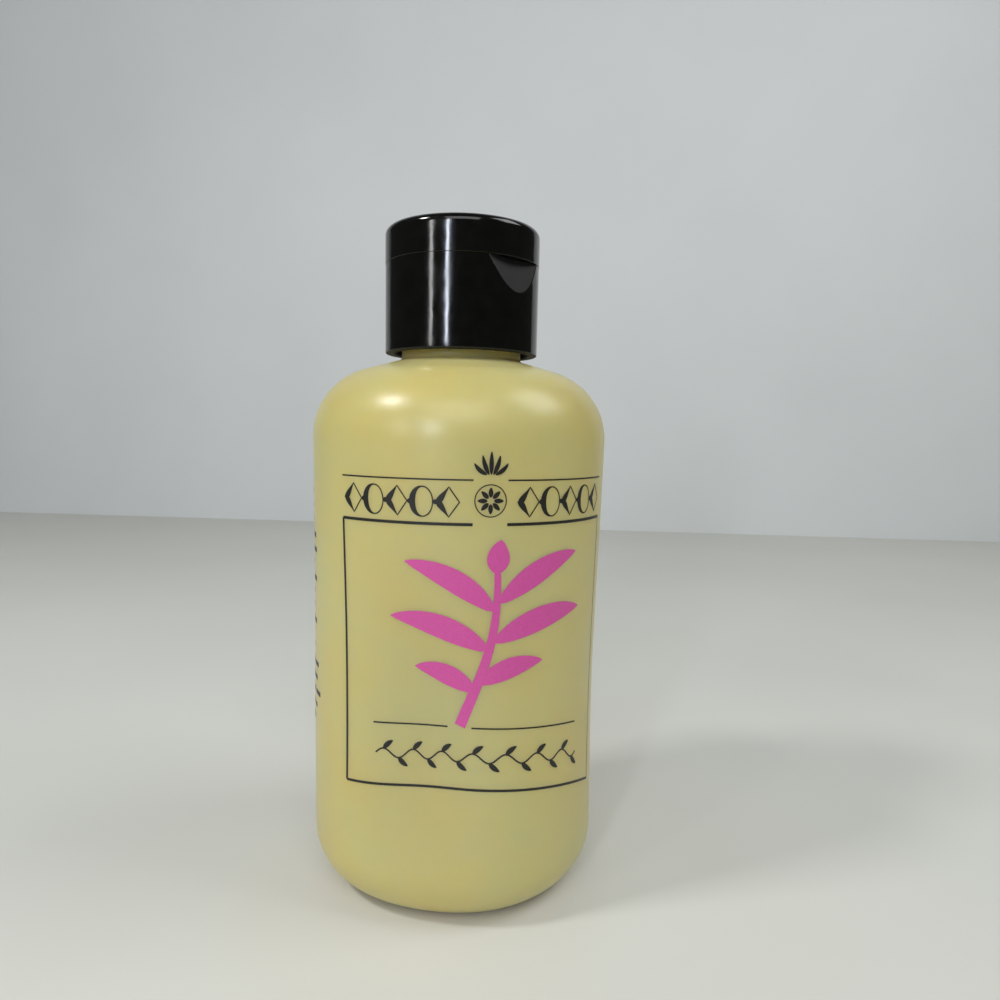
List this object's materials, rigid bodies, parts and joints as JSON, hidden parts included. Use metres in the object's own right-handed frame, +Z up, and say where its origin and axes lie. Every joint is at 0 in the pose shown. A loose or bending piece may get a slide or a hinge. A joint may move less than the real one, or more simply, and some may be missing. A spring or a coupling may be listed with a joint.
{
  "type": "flip-top squeeze bottle of massage oil",
  "caption": "Round translucent squeeze bottle of pale massage oil with a black screw-on flip-top cap and a plain printed frame.",
  "frame": {"origin": "centre of the standing ring, on the floor", "axes": "+Z up the bottle's axis, the printed front faces -Y, the cap's thumb recess faces 43 degrees from the front towards +X"},
  "size_m": [0.062, 0.062, 0.1378],
  "materials": {
    "natural_hdpe": "frosted, translucent",
    "oil": "clear pale yellow liquid",
    "foam_liner": "foamed sheet",
    "black_pp": "glossy, moulded"
  },
  "bodies": {
    "bottle": {"bottle": "natural_hdpe", "oil_fill": "oil"},
    "washer": {"seal_washer": "foam_liner"},
    "cap": {"cap_base": "black_pp", "hinge_film_left": "black_pp", "hinge_film_right": "black_pp", "snap_strap": "black_pp"},
    "lid": {"cap_lid": "black_pp"}
  },
  "joints": [
    {"name": "cap_rise", "type": "slide", "parent": "bottle", "child": "washer", "axis": [0, 0, 1], "range_m": [0, 0.01906]},
    {"name": "cap_turn", "type": "hinge", "parent": "washer", "child": "cap", "pos_m": [0, 0, 0.1125], "axis": [0, 0, 1], "range_deg": [0, 1620]},
    {"name": "lid_flip", "type": "hinge", "parent": "cap", "child": "lid", "pos_m": [-0.01071, 0.01148, 0.1305], "axis": [-0.7314, -0.682, 0], "range_deg": [0, 150], "deforming": ["hinge_film_left", "hinge_film_right", "snap_strap"]}
  ],
  "couplings": [
    {"joint": "cap_rise", "follows": "cap_turn", "m_per_rad": 0.00067376}
  ]
}
